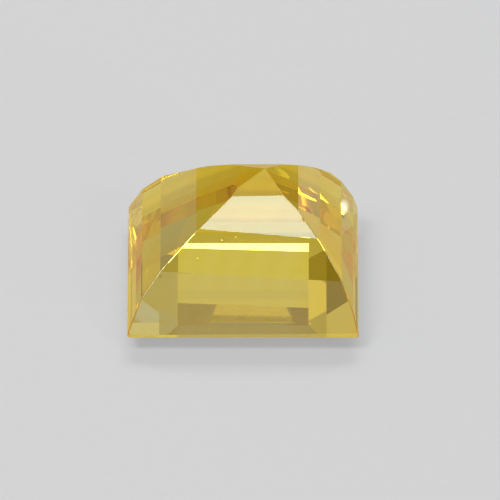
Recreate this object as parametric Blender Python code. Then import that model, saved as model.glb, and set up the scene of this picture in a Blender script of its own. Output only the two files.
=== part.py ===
"""Yellow sapphire, a loose stone in a square step cut, lying on its table with its point up.

The stone is one crystal. It starts as a block, and every facet is one flat cut that takes away
the crystal outside its plane, as on a faceting machine. Each of the four sides has a narrow
steep facet at the girdle, four step facets rising to the point, the flat girdle wall and two
crown facets that lead down to the table. The steps are cut by hand: their edges stand at other
heights on each side, and some run slightly askew.

Origin: the middle of the girdle square, down on the surface that the table lies on.
+Z points up through the pavilion, -Y is the front, +X the right side.
"""

import math

import bmesh
import bpy
from mathutils import Vector

MM = 0.001

# Girdle, the widest outline: a square with straight sides
GIRDLE_HALF = 2.00 * MM
GIRDLE_THICKNESS = 0.07 * MM

# Crown, below the girdle as the stone lies: the height of the girdle's upper edge above the
# table, and for each side, in mm, the table's edge and the edge between the two crown facets,
# as its distance out from the middle and its drop below the girdle
CROWN_HEIGHT = 0.37 * MM
TABLE_EDGES = {"front": 1.13, "back": 1.15, "left": 1.13, "right": 1.14}
CROWN_EDGES = {
    "front": (1.54, 0.24),
    "back": (1.40, 0.26),
    "left": (1.45, 0.20),
    "right": (1.45, 0.20),
}

# Pavilion, above the girdle: the four edges of each side's steps, from the lowest up, in mm.
# Each has its distance out from the middle of the stone and its height above the girdle
STEP_EDGES = {
    "front": ((1.90, 0.17), (1.46, 0.85), (0.97, 1.43), (0.48, 1.86)),
    "back": ((1.88, 0.31), (1.53, 0.99), (0.93, 1.56), (0.51, 1.87)),
    "left": ((1.76, 0.53), (1.43, 0.92), (0.81, 1.45), (0.09, 1.93)),
    "right": ((1.92, 0.30), (1.71, 0.79), (1.34, 1.30), (0.96, 1.68)),
}

# The point of the stone, from the middle of the girdle's upper edge, in mm
CULET = (0.39, 0.04, 2.09)

# Turn of each facet of a side about the upright axis, from the girdle up, in degrees
STEP_TURNS = {
    "front": (-0.3, -0.3, 0.2, 1.3, 1.1),
    "back": (0.0, 0.2, 1.3, 0.3, 0.0),
    "left": (0.0, 0.0, 0.0, 0.0, 0.0),
    "right": (0.0, 0.0, 0.0, 0.0, 0.0),
}

# Directions in which the four sides face, in degrees from +X
SIDE_AZIMUTHS = {"front": -90.0, "back": 90.0, "left": 180.0, "right": 0.0}

# Points closer than this are one corner
MEET = 0.010 * MM

# Body colour and polish
SAPPHIRE_COLOUR = (0.88, 0.66, 0.12, 1.0)
SAPPHIRE_IOR = 1.766
SAPPHIRE_ROUGHNESS = 0.02


def outward(azimuth):
    """The level direction that an azimuth names."""
    angle = math.radians(azimuth)
    return Vector((math.cos(angle), math.sin(angle), 0.0))


def block():
    """The rough block, a little larger than the finished stone on every side."""
    stone = bmesh.new()
    size = 3.0 * GIRDLE_HALF
    bmesh.ops.create_cube(stone, size=size)
    bmesh.ops.translate(stone, verts=stone.verts[:], vec=(0.0, 0.0, 0.4 * size))
    return stone


def cut(stone, point, normal):
    """One flat cut: takes away what lies outside the plane and closes the stone with a facet."""
    everything = stone.verts[:] + stone.edges[:] + stone.faces[:]
    result = bmesh.ops.bisect_plane(
        stone, geom=everything, dist=0.0, plane_co=point, plane_no=normal, clear_outer=True)
    rim = [part for part in result["geom_cut"] if isinstance(part, bmesh.types.BMEdge)]
    if rim:
        bmesh.ops.edgeloop_fill(stone, edges=rim)


def facet(stone, azimuth, lower, upper, turn=0.0):
    """A cut on one side through two points of its profile, each (distance out, height)."""
    out = outward(azimuth)
    low = out * lower[0] + Vector((0.0, 0.0, lower[1]))
    high = out * upper[0] + Vector((0.0, 0.0, upper[1]))
    level = outward(azimuth + 90.0 + turn)
    cut(stone, low, level.cross(high - low).normalized())


def cut_pavilion(stone, side):
    """The steep girdle facet and the four steps of one side, from the girdle up to the point."""
    azimuth = SIDE_AZIMUTHS[side]
    point = Vector(CULET)
    profile = [(GIRDLE_HALF, CROWN_HEIGHT)]
    profile += [(out * MM, CROWN_HEIGHT + height * MM) for out, height in STEP_EDGES[side]]
    profile.append((outward(azimuth).dot(point) * MM, CROWN_HEIGHT + point.z * MM))
    for lower, upper, turn in zip(profile, profile[1:], STEP_TURNS[side]):
        facet(stone, azimuth, lower, upper, turn)


def cut_crown(stone, side):
    """The two crown facets of one side, from the girdle down to the table."""
    azimuth = SIDE_AZIMUTHS[side]
    girdle_bottom = CROWN_HEIGHT - GIRDLE_THICKNESS
    out, drop = CROWN_EDGES[side]
    crown_edge = (out * MM, girdle_bottom - drop * MM)
    facet(stone, azimuth, crown_edge, (GIRDLE_HALF, girdle_bottom))
    facet(stone, azimuth, (TABLE_EDGES[side] * MM, 0.0), crown_edge)


def sapphire_material():
    """Clear yellow corundum with a polished surface."""
    material = bpy.data.materials.new("sapphire")
    material.use_nodes = True
    shader = material.node_tree.nodes["Principled BSDF"]
    shader.inputs["Base Color"].default_value = SAPPHIRE_COLOUR
    shader.inputs["Metallic"].default_value = 0.0
    shader.inputs["Roughness"].default_value = SAPPHIRE_ROUGHNESS
    shader.inputs["IOR"].default_value = SAPPHIRE_IOR
    shader.inputs["Transmission Weight"].default_value = 1.0
    material.diffuse_color = SAPPHIRE_COLOUR
    return material


def sapphire():
    """The whole stone, cut side by side."""
    stone = block()
    cut(stone, Vector((0.0, 0.0, 0.0)), Vector((0.0, 0.0, -1.0)))
    for side, azimuth in SIDE_AZIMUTHS.items():
        cut(stone, outward(azimuth) * GIRDLE_HALF, outward(azimuth))
        cut_crown(stone, side)
        cut_pavilion(stone, side)
    bmesh.ops.remove_doubles(stone, verts=stone.verts[:], dist=MEET)
    bmesh.ops.recalc_face_normals(stone, faces=stone.faces[:])
    mesh = bpy.data.meshes.new("sapphire")
    stone.to_mesh(mesh)
    stone.free()
    mesh.materials.append(sapphire_material())
    node = bpy.data.objects.new("sapphire", mesh)
    bpy.context.scene.collection.objects.link(node)
    return node


def main():
    for old in list(bpy.data.objects):
        bpy.data.objects.remove(old, do_unlink=True)
    sapphire()


main()
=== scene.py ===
"""Finish, floor, light and camera for a loose yellow sapphire lying on its table.

The facets come from the frame. Here the stone gets its worn edges, the pits and the small chip in
its polish, the ground girdle, its clear yellow body and its colour zones. Softboxes, lamps, cards
and boards stand and lie round it, and its facets throw them back.
"""

import math

import bmesh
import bpy
from mathutils import Euler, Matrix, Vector


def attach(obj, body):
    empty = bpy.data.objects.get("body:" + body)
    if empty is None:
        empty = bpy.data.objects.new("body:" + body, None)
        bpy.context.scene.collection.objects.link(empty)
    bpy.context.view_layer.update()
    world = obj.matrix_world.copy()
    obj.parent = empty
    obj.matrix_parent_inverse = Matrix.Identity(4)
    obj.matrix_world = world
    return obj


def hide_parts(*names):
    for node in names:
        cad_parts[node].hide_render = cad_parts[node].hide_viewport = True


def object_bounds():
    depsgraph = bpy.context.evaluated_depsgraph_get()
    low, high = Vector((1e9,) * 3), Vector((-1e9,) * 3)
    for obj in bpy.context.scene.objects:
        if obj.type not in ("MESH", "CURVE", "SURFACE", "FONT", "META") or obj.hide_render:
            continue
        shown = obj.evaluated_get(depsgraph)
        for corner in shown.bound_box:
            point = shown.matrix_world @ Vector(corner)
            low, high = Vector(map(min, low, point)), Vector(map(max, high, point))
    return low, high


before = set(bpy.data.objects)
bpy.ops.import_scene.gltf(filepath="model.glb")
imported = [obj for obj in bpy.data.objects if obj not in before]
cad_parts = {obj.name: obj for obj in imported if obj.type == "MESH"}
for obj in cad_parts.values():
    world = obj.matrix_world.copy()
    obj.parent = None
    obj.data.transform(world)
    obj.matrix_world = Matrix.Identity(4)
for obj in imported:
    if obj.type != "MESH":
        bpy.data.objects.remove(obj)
cad_low, cad_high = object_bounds()

MM = 0.001


# Colours of light and card

WHITE = (1.0, 1.0, 1.0)
COOL = (0.78, 0.93, 1.0)
AMBER = (1.0, 0.88, 0.45)
ORANGE = (1.0, 0.60, 0.20)
SKY = (0.42, 0.40, 1.0)
GREEN = (0.15, 1.0, 0.10)
PALE_BLUE = (0.88, 0.94, 1.0)
BLUE = (0.12, 0.16, 1.0)
DEEP_BLUE = (0.0, 0.06, 1.0)
WARM_WHITE = (1.0, 0.97, 0.84)
BLACK = (0.0, 0.0, 0.0)


def grey(tone):
    return (tone, tone, tone)


def opaque(colour):
    return (*colour, 1.0)


# Shader maths

class Wire:
    """One output of a material's nodes. Sums, products and abs() of it add Math nodes."""

    def __init__(self, tree, socket=None):
        self.tree = tree
        self.socket = socket

    def node(self, kind, settings=None, sockets=None, out=0):
        """Any other node: its settings first, then the values or links of its sockets."""
        node = self.tree.nodes.new(kind)
        for name, value in (settings or {}).items():
            if name == "stops":
                fill_ramp(node.color_ramp, value)
            else:
                setattr(node, name, value)
        for name, value in (sockets or {}).items():
            if isinstance(value, Wire):
                self.tree.links.new(value.socket, node.inputs[name])
            else:
                node.inputs[name].default_value = value
        return Wire(self.tree, node.outputs[out])

    def feed(self, name):
        """Leads this output into one socket of the material's shader."""
        shader = self.tree.nodes["Principled BSDF"]
        self.tree.links.new(self.socket, shader.inputs[name])

    def maths(self, operation, *values):
        return self.node("ShaderNodeMath", {"operation": operation}, dict(enumerate(values)))

    def __add__(self, other):
        return self.maths("ADD", self, other)

    def __radd__(self, other):
        return self.maths("ADD", other, self)

    def __mul__(self, other):
        return self.maths("MULTIPLY", self, other)

    def __rmul__(self, other):
        return self.maths("MULTIPLY", other, self)

    def __abs__(self):
        return self.maths("ABSOLUTE", self)


def fill_ramp(ramp, stops):
    """Sets a colour ramp's stops, each a place and a colour."""
    while len(ramp.elements) < len(stops):
        ramp.elements.new(1.0)
    for element, (place, colour) in zip(ramp.elements, stops):
        element.position = place
        element.color = opaque(colour)


def mixed(wire, blend, factor, first, second):
    """Two colours mixed or multiplied. A Mix node's colours are its inputs 6 and 7 and output 2."""
    settings = {"data_type": "RGBA", "blend_type": blend}
    values = {0: factor, 6: first, 7: second}
    return wire.node("ShaderNodeMix", settings, values, 2)


def noise(wire, place, scale, detail):
    """A cloudy pattern, with so many patches to a metre."""
    return wire.node("ShaderNodeTexNoise", None, {
        "Vector": place, "Scale": scale, "Detail": detail}, "Fac")


def attribute(wire, name):
    """A value that the mesh itself carries."""
    return wire.node("ShaderNodeAttribute", {"attribute_name": name}, out="Fac")


def own_place(wire):
    """Where a point lies on its own piece."""
    return wire.node("ShaderNodeTexCoord", out="Object")


def part_of(place, axis):
    """How far a place lies along X, Y or Z."""
    return place.node("ShaderNodeSeparateXYZ", None, {"Vector": place}, axis)


# Colour ramps over a distance reach this far, in mm
ZONE_REACH = 3.0


def zone_ramp(distance, stops):
    """A colour for each distance. The stops are in mm."""
    places = [(place / ZONE_REACH, colour) for place, colour in stops]
    share = distance * (1.0 / (ZONE_REACH * MM))
    return distance.node("ShaderNodeValToRGB", {"stops": places}, {"Fac": share}, "Color")


# Materials

# The crystal, its IOR and the light that its body takes away
CRYSTAL_IOR = 1.766
CRYSTAL_ABSORPTION = (0.998, 0.90, 0.10)
CRYSTAL_DENSITY = 555.0

# Colour zones: how the colour deepens towards the point, by height above the table in mm, and
# towards the left and right sides, by distance from the middle in mm
POINT_ZONE = (
    (1.15, (1.0, 1.0, 0.98)),
    (1.60, (1.0, 0.97, 0.80)),
    (1.85, (1.0, 0.91, 0.24)),
    (2.20, (0.98, 0.86, 0.16)),
)
SIDE_ZONE = (
    (0.95, WHITE),
    (1.35, (1.0, 0.93, 0.50)),
)

# Nearly straight growth bands, a third of a millimetre apart, that slant through the crystal
BAND_SLANT = (0.0, math.radians(24.0), math.radians(31.0))
BAND_SCALE = 900.0
BAND_WAVER = {"Distortion": 1.4, "Detail": 2.0, "Detail Scale": 0.6}
BAND_PALE = WHITE
BAND_DEEP = (0.99, 0.97, 0.86)

# Roughness of the polish, and what patches of duller polish, worn edges and the ground girdle add
# to it. The patches are a noise, given by its scale and its detail
POLISH_ROUGHNESS = 0.004
DULL_ROUGHNESS = 0.012
WEAR_ROUGHNESS = 0.05
GROUND_ROUGHNESS = 0.22
DULL_PATCHES = (1800.0, 4.0)

# The grain that polishing and grinding leave: a hundredth of a millimetre wide, far less than a
# thousandth deep, and fainter on the polished facets than on the girdle
GRAIN = (90000.0, 2.0)
GRAIN_DEPTH = 0.001 * MM
GRAIN_STRENGTH = 0.05
POLISH_GRAIN = 0.02

# Pale paper, with a faint grain a quarter of a millimetre wide
PAPER_DARK = 0.81
PAPER_PALE = 0.83
PAPER_GRAIN = (4000.0, 3.0)
PAPER_SHEEN = 0.2
MATT_ROUGHNESS = 0.9


def new_material(name, values):
    """A material, with its shader's plain values by the names of their sockets."""
    material = bpy.data.materials.new(name)
    material.use_nodes = True
    shader = material.node_tree.nodes["Principled BSDF"]
    for socket, value in values.items():
        shader.inputs[socket].default_value = value
    return material


def matt(name, colour=WHITE, sheen=0.0):
    """Matt card or paper."""
    return new_material(name, {
        "Base Color": opaque(colour),
        "Roughness": MATT_ROUGHNESS,
        "Specular IOR Level": sheen,
    })


def colour_zones(place):
    """The colour of the crystal, deeper towards the point and the sides, with growth bands."""
    point_zone = zone_ramp(part_of(place, "Z"), POINT_ZONE)
    side_zone = zone_ramp(abs(part_of(place, "X")), SIDE_ZONE)
    slanted = place.node("ShaderNodeMapping", None, {"Vector": place, "Rotation": BAND_SLANT})
    bands = place.node(
        "ShaderNodeTexWave",
        {"wave_type": "BANDS", "bands_direction": "X"},
        {"Vector": slanted, "Scale": BAND_SCALE, **BAND_WAVER},
        "Fac")
    band_colour = mixed(place, "MIX", bands, opaque(BAND_PALE), opaque(BAND_DEEP))
    zones = mixed(place, "MULTIPLY", 1.0, point_zone, side_zone)
    return mixed(place, "MULTIPLY", 1.0, zones, band_colour)


def sapphire_material():
    """Clear yellow corundum: polished facets, worn edges and a finely ground girdle."""
    material = new_material("sapphire", {"IOR": CRYSTAL_IOR, "Transmission Weight": 1.0})
    wire = Wire(material.node_tree)
    place = own_place(wire)
    colour_zones(place).feed("Base Color")

    wear = attribute(wire, "wear")
    ground = attribute(wire, "ground")
    dull = noise(wire, place, *DULL_PATCHES)
    roughness = POLISH_ROUGHNESS + DULL_ROUGHNESS * dull
    roughness += WEAR_ROUGHNESS * wear + GROUND_ROUGHNESS * ground
    roughness.feed("Roughness")

    grain = noise(wire, place, *GRAIN) * (POLISH_GRAIN + ground)
    bump = wire.node("ShaderNodeBump", None, {
        "Height": grain, "Strength": GRAIN_STRENGTH, "Distance": GRAIN_DEPTH}, "Normal")
    bump.feed("Normal")

    absorption = wire.node("ShaderNodeVolumeAbsorption", None, {
        "Color": opaque(CRYSTAL_ABSORPTION), "Density": CRYSTAL_DENSITY}, "Volume")
    output = material.node_tree.nodes["Material Output"]
    material.node_tree.links.new(absorption.socket, output.inputs["Volume"])
    return material


def paper_material():
    """Pale matt paper."""
    material = matt("pale_paper", sheen=PAPER_SHEEN)
    wire = Wire(material.node_tree)
    grain = noise(wire, own_place(wire), *PAPER_GRAIN)
    tone = mixed(wire, "MIX", grain, opaque(grey(PAPER_DARK)), opaque(grey(PAPER_PALE)))
    tone.feed("Base Color")
    return material


# The stone

# Corners of the frame's triangles closer than this are one, and triangles that lie flatter to
# each other than this angle are one facet
CORNER_MEET = 0.001 * MM
FLAT_ANGLE = math.radians(1.0)

# Worn edges: the radius of the round, and how many narrow flats make it. One corner of the girdle
# has been bumped rounder than the others, and edges under a certain length stay sharp
BUMPED_CORNER = (0.10 * MM, 5)
WORN_CORNER = (0.04 * MM, 5)
WORN_RIDGE = (0.025 * MM, 3)
WORN_RIM = (0.012 * MM, 2)
SHORT_EDGE = 0.04 * MM

# How an edge is told by the normals of its facets: the most that a girdle wall's may rise, the
# least that a step's rises and a crown facet's falls, and the least turn across a ridge
WALL_RISE = 0.02
FACET_RISE = 0.05
RIDGE_TURN = math.radians(45.0)

# The chip, at the ridge on the right, and the three pits: the middle and the radius, in mm, of the
# ball that each one is scooped out by. So that no two breaks are alike, each ball is turned by its
# place, so many radians to the mm along each axis
CHIPS = (
    ((1.083, -0.798, 1.981), 0.075),
    ((-0.122, -1.031, 1.752), 0.026),
    ((-0.783, -1.267, 1.469), 0.022),
    ((-0.365, -1.063, 1.709), 0.022),
)
CHIP_TURNS = (3.0, 5.0, 7.0)
BALL_DIVISIONS = 2


def normals_at(edge):
    """The normals of the two facets that meet at an edge."""
    return [face.normal.copy() for face in edge.link_faces]


def is_wall(normal):
    """True for the upright walls of the girdle."""
    return abs(normal.z) < WALL_RISE


def is_corner(first, second):
    """True for the four upright edges of the girdle."""
    return is_wall(first) and is_wall(second)


def is_ridge(first, second):
    """True for the edges where the steps of two sides meet, from the girdle up to the point."""
    if min(first.z, second.z) < FACET_RISE:
        return False
    return first.xy.angle(second.xy) > RIDGE_TURN


def is_lower_rim(first, second):
    """True for the girdle's lower edge."""
    return is_wall(first) != is_wall(second) and min(first.z, second.z) < -FACET_RISE


def worn_planes(edge, radius, flats):
    """Flats that wear one edge to a round of this radius, each a point and a normal."""
    first, second = normals_at(edge)
    middle = (edge.verts[0].co + edge.verts[1].co) / 2.0
    axis = middle - (first + second) * radius / (1.0 + first.dot(second))
    planes = []
    for step in range(flats):
        normal = first.slerp(second, (step + 1.0) / (flats + 1.0))
        planes.append((axis + normal * radius, normal))
    return planes


def edge_wear(stone):
    """The planes for every worn edge: corners, ridges and the girdle's lower edge."""
    planes = []
    for edge in stone.edges:
        first, second = normals_at(edge)
        middle = (edge.verts[0].co + edge.verts[1].co) / 2.0
        if is_corner(first, second):
            bumped = middle.x < 0.0 and middle.y < 0.0
            planes += worn_planes(edge, *(BUMPED_CORNER if bumped else WORN_CORNER))
        elif is_ridge(first, second) and edge.calc_length() > SHORT_EDGE:
            planes += worn_planes(edge, *WORN_RIDGE)
        elif is_lower_rim(first, second) and edge.calc_length() > SHORT_EDGE:
            planes += worn_planes(edge, *WORN_RIM)
    return planes


def mark(faces, layer, value):
    """Writes a value on every corner of some faces, for the material to read."""
    for face in faces:
        for corner in face.loops:
            corner[layer] = value


def wear_away(stone, planes):
    """Takes away what lies outside the planes, and marks the narrow flats that this leaves."""
    wear_layer = stone.loops.layers.float["wear"]
    for point, normal in planes:
        everything = stone.verts[:] + stone.edges[:] + stone.faces[:]
        result = bmesh.ops.bisect_plane(
            stone, geom=everything, dist=0.0, plane_co=point, plane_no=normal, clear_outer=True)
        rim = [part for part in result["geom_cut"] if isinstance(part, bmesh.types.BMEdge)]
        if rim:
            mark(bmesh.ops.edgeloop_fill(stone, edges=rim)["faces"], wear_layer, 1.0)


def scoops():
    """One mesh of small balls, one for the chip and each pit. What they cover breaks out."""
    balls = bmesh.new()
    for place, radius in CHIPS:
        turn = Euler([along * turns for along, turns in zip(place, CHIP_TURNS)])
        ball = bmesh.ops.create_icosphere(
            balls, subdivisions=BALL_DIVISIONS, radius=radius * MM,
            matrix=turn.to_matrix().to_4x4())
        bmesh.ops.translate(balls, verts=ball["verts"], vec=Vector(place) * MM)
    mark(balls.faces, balls.loops.layers.float.new("wear"), 1.0)
    mark(balls.faces, balls.loops.layers.float.new("ground"), 1.0)
    mesh = bpy.data.meshes.new("scoops")
    balls.to_mesh(mesh)
    balls.free()
    return bpy.data.objects.new("scoops", mesh)


def break_out_chips(piece):
    """Breaks the chip and the pits out of the piece's mesh."""
    tool = scoops()
    bpy.context.scene.collection.objects.link(tool)
    breaking = piece.modifiers.new("chips", "BOOLEAN")
    breaking.operation = "DIFFERENCE"
    breaking.solver = "EXACT"
    breaking.object = tool
    bpy.context.view_layer.update()
    graph = bpy.context.evaluated_depsgraph_get()
    chipped = bpy.data.meshes.new_from_object(piece.evaluated_get(graph))
    chipped.name = "sapphire_stone"
    piece.modifiers.remove(breaking)
    whole = piece.data
    piece.data = chipped
    bpy.data.meshes.remove(whole)
    bpy.data.objects.remove(tool)


def finished_stone():
    """The stone's facets whole again, with its worn edges, its chip and its pits."""
    stone = bmesh.new()
    stone.from_mesh(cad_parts["sapphire"].data)
    bmesh.ops.remove_doubles(stone, verts=stone.verts[:], dist=CORNER_MEET)
    bmesh.ops.dissolve_limit(
        stone, angle_limit=FLAT_ANGLE, verts=stone.verts[:], edges=stone.edges[:])
    stone.normal_update()
    stone.loops.layers.float.new("wear")
    ground_layer = stone.loops.layers.float.new("ground")
    mark([face for face in stone.faces if is_wall(face.normal)], ground_layer, 1.0)
    wear_away(stone, edge_wear(stone))
    for face in stone.faces:
        face.smooth = False
    mesh = bpy.data.meshes.new("sapphire_stone")
    stone.to_mesh(mesh)
    stone.free()
    piece = bpy.data.objects.new("sapphire_stone", mesh)
    bpy.context.scene.collection.objects.link(piece)
    break_out_chips(piece)
    piece.data.materials.clear()
    piece.data.materials.append(sapphire_material())
    # Soft light on its way to the floor passes the stone by, so that its shadow stays faint
    piece.visible_diffuse = False
    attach(piece, "root")
    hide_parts("sapphire")


# Floor and light

# The floor lies just clear of the stone's table. Its size is from the middle to an edge
FLOOR_DROP = 0.01 * MM
FLOOR_LEVEL = cad_low.z - FLOOR_DROP
FLOOR_HALF = 400.0 * MM

# Brightness of the white surroundings, and how far off the softboxes and the cards stand
SURROUND = 0.43
STUDIO_DISTANCE = 250.0 * MM

# Softboxes and lamps: azimuth, elevation, width and height in degrees, brightness and colour.
# Azimuth 0 is the camera's side, 90 the right, 180 behind and 270 the left. The strong ones make
# the bright facets and lines, and the faint ones lift or tint the tone of a facet or two
SOFTBOXES = {
    "back_softbox": (175.8, 50.1, 40.0, 10.0, 4.4, WHITE),
    "front_softbox": (5.1, 64.3, 7.7, 7.8, 5.0, COOL),
    "top_softbox": (180.0, 87.5, 14.0, 14.0, 0.10, WHITE),
    "low_softbox": (210.0, 26.5, 22.0, 13.0, 0.28, AMBER),
    "left_softbox": (264.0, 30.0, 24.0, 26.0, 0.20, AMBER),
    "right_softbox": (97.0, 26.5, 16.0, 6.0, 0.05, AMBER),
    "panel_softbox": (178.0, 44.4, 60.0, 7.2, 0.28, PALE_BLUE),
    "low_panel_softbox": (178.0, 37.9, 60.0, 5.8, 0.175, WHITE),
    "strip_softbox": (179.0, 25.2, 34.0, 6.4, 0.12, ORANGE),
    "line_softbox": (179.9, 11.2, 18.0, 3.4, 0.21, SKY),
    "fill_softbox": (359.0, 29.5, 14.0, 10.0, 0.12, WHITE),
    "left_edge": (147.5, 1.0, 5.0, 5.0, 0.22, WHITE),
    "green_softbox": (198.8, 10.7, 5.0, 4.0, 0.08, GREEN),
    "left_fill": (140.5, 22.0, 9.0, 9.0, 0.22, BLUE),
    "left_high_softbox": (108.0, 51.0, 8.0, 8.0, 0.09, AMBER),
    "corner_softbox": (224.0, 30.0, 8.0, 8.0, 0.08, WHITE),
    "right_edge": (217.0, 1.0, 9.0, 5.0, 0.34, SKY),
    "right_fill": (269.0, 22.2, 8.0, 6.0, 0.16, BLUE),
    "left_low_fill": (103.2, 26.1, 5.0, 5.0, 0.25, BLUE),
    "side_lamp": (43.6, 32.2, 4.5, 4.5, 12.0, WHITE),
    "low_lamp": (42.4, 6.2, 7.0, 7.0, 12.0, WHITE),
    "left_rim_lamp": (161.4, 4.5, 5.0, 3.0, 0.70, WHITE),
    "right_rim_lamp": (200.7, 2.6, 4.0, 3.0, 0.66, AMBER),
    "door_softbox": (11.0, 5.5, 14.0, 8.0, 0.22, AMBER),
    "ridge_softbox": (316.0, 57.0, 22.0, 9.0, 7.0, WHITE),
    "low_ridge_lamp": (317.5, 45.3, 8.0, 6.0, 5.0, WHITE),
    "right_ridge_lamp": (52.6, 53.3, 8.0, 6.0, 3.5, WHITE),
}

# The softbox that lights the floor alone, from the left
FLOOR_SOFTBOX = (318.0, 38.0, 64.0, 50.0, 0.22, WHITE)

# Matt cards, each of which shades or tints one part of the stone: azimuth, elevation, width and
# height in degrees, and colour
CARDS = {
    "side_card": (228.5, 21.0, 19.0, 17.0, (0.37, 0.32, 0.14)),
    "left_card": (112.5, 39.8, 8.0, 7.0, (0.48, 0.48, 0.41)),
    "lens_card": (0.4, 46.8, 15.0, 10.0, grey(0.03)),
    "strip_card": (179.0, 20.3, 40.0, 2.4, (0.50, 0.51, 0.95)),
    "band_card": (179.7, 6.3, 20.0, 5.0, (0.55, 0.535, 0.78)),
    "left_flag": (211.5, 12.2, 6.0, 4.4, grey(0.18)),
    "top_flag": (201.7, 26.3, 3.4, 3.4, grey(0.12)),
    "right_flag": (148.5, 10.3, 6.0, 5.0, grey(0.18)),
}

# Small upright cards close behind the stone: how far behind its middle each one stands, its lower
# left, lower right, upper left and upper right corners, across and up, and its colour. Their rims
# fade out over the width of the soft edge. Places are in mm
SOFT_EDGE = 0.07
NEAR_CARDS = {
    "near_left": (
        4.45, ((-1.34, 2.40), (-0.32, 2.40), (-1.34, 2.96), (-0.52, 2.96)), (0.50, 0.455, 0.50)),
    "near_right": (
        4.45, ((0.70, 2.40), (1.24, 2.40), (0.96, 2.96), (1.24, 2.96)), (0.42, 0.375, 0.44)),
    "near_band": (
        4.50, ((-1.20, 2.74), (1.20, 2.81), (-1.20, 2.95), (1.20, 2.95)), (0.50, 0.45, 0.45)),
}

# Small lights close behind the stone, each at an azimuth in degrees and a distance in mm: left,
# right, lower and upper edge in mm, brightness and colour
NEAR_LIGHTS = {
    "corner_light": (141.0, 12.0, 0.90, 1.62, 1.00, 1.66, 1.15, DEEP_BLUE),
    "far_corner_light": (141.0, 40.0, 0.35, 1.30, 0.90, 1.80, 0.60, BLUE),
    "high_corner_light": (141.0, 12.0, 1.80, 2.42, 2.10, 2.70, 0.60, DEEP_BLUE),
}

# Boards and cards that lie on the floor: left, right, near and far edge in mm, height above the
# floor in mm, and colour. The warm board lies under, beside and behind the stone, the pale board
# lies on it, behind the stone, and the two cards lie under the overhang of its front edge
BOARDS = {
    "warm_board": (-14.0, 12.0, -1.5, 16.0, 0.002, (0.80, 0.70, 0.38)),
    "pale_board": (-4.5, 4.5, 2.45, 5.0, 0.003, (0.92, 0.88, 0.55)),
    "front_left_card": (-1.90, -0.90, -2.20, -1.45, 0.004, (0.84, 1.00, 0.69)),
    "front_right_card": (0.50, 1.60, -2.20, -1.28, 0.004, (0.98, 1.00, 0.78)),
}

# The gold card on the boards, under and behind the stone, is painted light: its colour and glow
# stand in for the yellow light that passes through the stone onto the floor. Its width and depth,
# how far behind the middle of the stone its own middle lies, its height above the floor, its colour
# by distance behind the middle of the stone in mm, deepest near the stone, and its glow
GOLD_SIZE = (3.2 * MM, 5.1 * MM)
GOLD_BEHIND = 1.35 * MM
GOLD_LIFT = 0.004 * MM
PAINTED_CAUSTIC_ZONE = (
    (1.25, (0.98, 0.74, 0.02)),
    (1.50, (0.97, 0.82, 0.24)),
    (1.95, (0.97, 0.82, 0.26)),
    (2.20, (0.85, 0.75, 0.33)),
    (2.75, (0.66, 0.65, 0.55)),
)
PAINTED_CAUSTIC_GLOW = 0.07

# The glint, a bright spot on the floor to the right behind the stone: its middle, half its width
# and length, its turn and its brightness. It fades from a small core to its rim. The far glint is
# a light on the floor: its middle, its width and length, and its brightness
GLINT_LIFT = 0.006 * MM
GLINT_PLACE = (2.85 * MM, 3.27 * MM)
GLINT_HALF = (0.13 * MM, 0.34 * MM)
GLINT_TURN = math.radians(17.0)
GLINT_FADE = ((0.15, WHITE), (1.0, BLACK))
GLINT_GLOW = 2.6
FAR_GLINT_PLACE = (2.26 * MM, 12.60 * MM)
FAR_GLINT_SIZE = (0.50 * MM, 0.80 * MM)
FAR_GLINT_GLOW = 1.6


def stage_piece(name, flat, material):
    """A piece of the studio, made from its mesh."""
    mesh = bpy.data.meshes.new(name)
    flat.to_mesh(mesh)
    flat.free()
    mesh.materials.append(material)
    piece = bpy.data.objects.new(name, mesh)
    bpy.context.scene.collection.objects.link(piece)
    return piece


def square():
    """A flat square, one unit to each side of its middle."""
    flat = bmesh.new()
    bmesh.ops.create_grid(flat, x_segments=1, y_segments=1, size=1.0)
    return flat


def floor():
    """A wide sheet of pale paper under the stone."""
    surface = square()
    bmesh.ops.scale(surface, vec=(FLOOR_HALF, FLOOR_HALF, 1.0), verts=surface.verts[:])
    bmesh.ops.translate(surface, vec=(0.0, 0.0, FLOOR_LEVEL), verts=surface.verts[:])
    stage_piece("floor", surface, paper_material())


def unseen(flat, material):
    """A studio piece that the facets mirror. The camera and the floor don't see it."""
    board = stage_piece(material.name, flat, material)
    board.visible_camera = False
    board.visible_diffuse = False
    board.visible_shadow = False
    return board


def sheet(material, width, height):
    """A flat sheet of a material."""
    flat = square()
    bmesh.ops.scale(flat, vec=(width / 2.0, height / 2.0, 1.0), verts=flat.verts[:])
    return unseen(flat, material)


def way_out(azimuth, elevation=0.0):
    """The direction from the stone to a place in the studio, by its angles in degrees."""
    turn, rise = math.radians(azimuth), math.radians(elevation)
    level = Vector((math.sin(turn), -math.cos(turn), 0.0))
    return level * math.cos(rise) + Vector((0.0, 0.0, math.sin(rise)))


def facing_stone(away):
    """The turn of a light or a card that stands this way from the stone and faces it."""
    return away.to_track_quat("Z", "Y").to_euler()


def span(angle):
    """The width at the studio's distance that fills an angle in degrees, seen from the stone."""
    return 2.0 * STUDIO_DISTANCE * math.tan(math.radians(angle) / 2.0)


def area_light(name, place, away, width, height, brightness, colour):
    """A flat light at a place, with its back to the direction away."""
    light = bpy.data.lights.new(name, "AREA")
    light.shape = "RECTANGLE"
    light.size = width
    light.size_y = height
    light.energy = brightness * width * height * math.pi
    light.color = colour
    lamp = bpy.data.objects.new(name, light)
    lamp.location = place
    lamp.rotation_euler = facing_stone(away)
    bpy.context.scene.collection.objects.link(lamp)
    lamp.visible_camera = False
    return lamp


def softbox(name, azimuth, elevation, width, height, brightness, colour):
    """A far light that faces the stone, by its angles as seen from the stone, in degrees."""
    away = way_out(azimuth, elevation)
    place = away * STUDIO_DISTANCE
    return area_light(name, place, away, span(width), span(height), brightness, colour)


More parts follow.
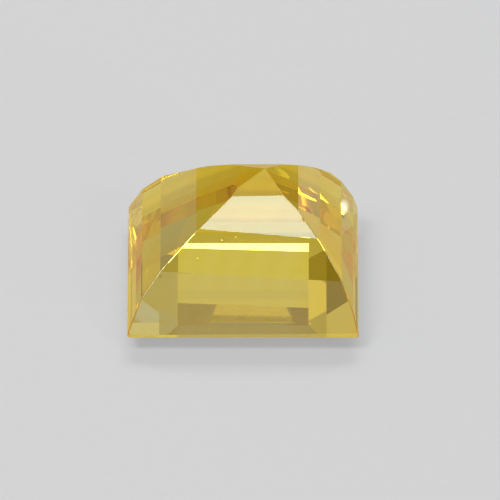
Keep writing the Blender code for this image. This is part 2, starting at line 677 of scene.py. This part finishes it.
def near_light(name, azimuth, distance, left, right, low, high, brightness, colour):
    """A small light close to the stone, upright and facing it."""
    away = way_out(azimuth)
    side = way_out(azimuth + 90.0)
    place = away * distance + side * (left + right) / 2.0
    place.z = (low + high) / 2.0
    width = (right - left) * MM
    height = (high - low) * MM
    area_light(name, place * MM, away, width, height, brightness, colour)


def card(name, azimuth, elevation, width, height, colour):
    """A far matt card, placed and measured like a softbox."""
    away = way_out(azimuth, elevation)
    board = sheet(matt(name, colour), span(width), span(height))
    board.location = away * STUDIO_DISTANCE
    board.rotation_euler = facing_stone(away)


def near_card(name, behind, corners, colour):
    """A small upright card close behind the stone, soft along its edges."""
    material = matt(name, colour)
    attribute(Wire(material.node_tree), "body").feed("Alpha")
    flat = square()
    for corner, (right, up) in zip(flat.verts, corners):
        corner.co = Vector((right, up, 0.0)) * MM
    bmesh.ops.inset_individual(flat, faces=flat.faces[:], thickness=SOFT_EDGE * MM)
    body_layer = flat.verts.layers.float.new("body")
    for corner in flat.verts:
        corner[body_layer] = 0.0 if corner.is_boundary else 1.0
    board = unseen(flat, material)
    board.location = (0.0, behind * MM, 0.0)
    board.rotation_euler = (math.pi / 2.0, 0.0, 0.0)


def floor_board(name, left, right, near, far, lift, colour):
    """A matt board or card that lies on the floor."""
    board = sheet(matt(name, colour), (right - left) * MM, (far - near) * MM)
    middle = Vector((left + right, near + far, 0.0)) / 2.0 * MM
    board.location = (middle.x, middle.y, FLOOR_LEVEL + lift * MM)


def painted_caustic_card():
    """The gold card, a painted pool of the yellow light that passes through the stone onto the
    floor:
    deepest near the stone and paler towards its far end, with a painted glow. It throws warm light
    up into the facets.
    """
    material = matt("painted_caustic_card")
    place = own_place(Wire(material.node_tree))
    # Painted light: the card's colour and glow are the yellow light that the stone lets through
    # onto the floor
    tone = zone_ramp(part_of(place, "Y") + GOLD_BEHIND, PAINTED_CAUSTIC_ZONE)
    tone.feed("Base Color")
    tone.feed("Emission Color")
    shader = material.node_tree.nodes["Principled BSDF"]
    shader.inputs["Emission Strength"].default_value = PAINTED_CAUSTIC_GLOW
    board = sheet(material, *GOLD_SIZE)
    board.location = (0.0, GOLD_BEHIND, FLOOR_LEVEL + GOLD_LIFT)


def glint():
    """The small bright spot that light thrown through the stone makes on the floor behind it. It
    is mirrored in the right side's facets."""
    material = new_material("floor_glint", {
        "Base Color": opaque(BLACK),
        "Specular IOR Level": 0.0,
        "Emission Color": opaque(WARM_WHITE),
        "Emission Strength": GLINT_GLOW,
    })
    wire = Wire(material.node_tree)
    half_width, half_length = GLINT_HALF
    spread = wire.node("ShaderNodeMapping", None, {
        "Vector": own_place(wire), "Scale": (1.0 / half_width, 1.0 / half_length, 1.0)})
    away = wire.node("ShaderNodeVectorMath", {"operation": "LENGTH"}, {0: spread}, "Value")
    body = wire.node("ShaderNodeValToRGB", {"stops": GLINT_FADE}, {"Fac": away}, "Color")
    body.feed("Alpha")
    spot = sheet(material, 2.0 * half_width, 2.0 * half_length)
    spot.location = (*GLINT_PLACE, FLOOR_LEVEL + GLINT_LIFT)
    spot.rotation_euler = (0.0, 0.0, -GLINT_TURN)


def far_glint():
    """A second bright spot, farther behind the stone. It brightens a wedge in the right side."""
    place = Vector((*FAR_GLINT_PLACE, FLOOR_LEVEL + GLINT_LIFT))
    down = Vector((0.0, 0.0, -1.0))
    area_light("far_glint", place, down, *FAR_GLINT_SIZE, FAR_GLINT_GLOW, WHITE)


def surroundings():
    """Even white light from all round."""
    world = bpy.data.worlds.new("studio")
    bpy.context.scene.world = world
    world.use_nodes = True
    background = world.node_tree.nodes["Background"]
    background.inputs["Color"].default_value = opaque(WHITE)
    background.inputs["Strength"].default_value = SURROUND


def studio_light():
    """All lights, and the cards and boards that the facets mirror."""
    surroundings()
    for name, values in SOFTBOXES.items():
        softbox(name, *values)
    floor_light = softbox("floor_softbox", *FLOOR_SOFTBOX)
    floor_light.visible_glossy = False
    floor_light.visible_transmission = False
    for name, values in CARDS.items():
        card(name, *values)
    for name, values in NEAR_CARDS.items():
        near_card(name, *values)
    for name, values in NEAR_LIGHTS.items():
        near_light(name, *values)
    glint()
    far_glint()
    for name, values in BOARDS.items():
        floor_board(name, *values)
    painted_caustic_card()


# Camera and render

# The photograph looks down on the stone from the front, from far off. The picture's width, the
# stone's width in it and the place of the middle of the girdle's upper edge, across and down, are
# in pixels of the photograph, and the height of that edge above the table is a real size
VIEW_ELEVATION = math.radians(33.6)
CAMERA_DISTANCE = 300.0 * MM
PICTURE_PX = 500.0
STONE_PX = 230.0
GIRDLE_ACROSS_PX = 243.0
GIRDLE_DOWN_PX = 270.2
GIRDLE_HEIGHT = 0.37 * MM
PIXEL = (cad_high.x - cad_low.x) / STONE_PX
SENSOR = 36.0
NEAREST = 10.0 * MM
FARTHEST = 2000.0 * MM

# Light is thrown to and fro inside the stone this many times
BOUNCES = 24


def camera():
    """A long lens at the photograph's angle, with the stone where the photograph has it."""
    rise = VIEW_ELEVATION
    forward = Vector((0.0, math.cos(rise), -math.sin(rise)))
    up = Vector((0.0, math.sin(rise), math.cos(rise)))
    right = Vector((1.0, 0.0, 0.0))
    centre = PICTURE_PX / 2.0
    aim = Vector((0.0, 0.0, GIRDLE_HEIGHT))
    aim += right * (centre - GIRDLE_ACROSS_PX) * PIXEL
    aim += up * (GIRDLE_DOWN_PX - centre) * PIXEL
    lens = bpy.data.cameras.new("camera")
    lens.type = "PERSP"
    lens.sensor_width = SENSOR
    lens.lens = CAMERA_DISTANCE * SENSOR / (PICTURE_PX * PIXEL)
    lens.clip_start = NEAREST
    lens.clip_end = FARTHEST
    lens.dof.use_dof = False
    view = bpy.data.objects.new("camera", lens)
    view.location = aim - forward * CAMERA_DISTANCE
    view.rotation_euler = (math.pi / 2.0 - rise, 0.0, 0.0)
    bpy.context.scene.collection.objects.link(view)
    bpy.context.scene.camera = view


def light_paths():
    """Enough bounces for the stone, no bright patterns thrown on the floor, and plain tones."""
    cycles = bpy.context.scene.cycles
    cycles.max_bounces = BOUNCES
    cycles.glossy_bounces = BOUNCES
    cycles.transmission_bounces = BOUNCES
    cycles.caustics_refractive = False
    cycles.caustics_reflective = False
    cycles.blur_glossy = 0.0
    bpy.context.scene.view_settings.view_transform = "Standard"


finished_stone()
floor()
studio_light()
camera()
light_paths()
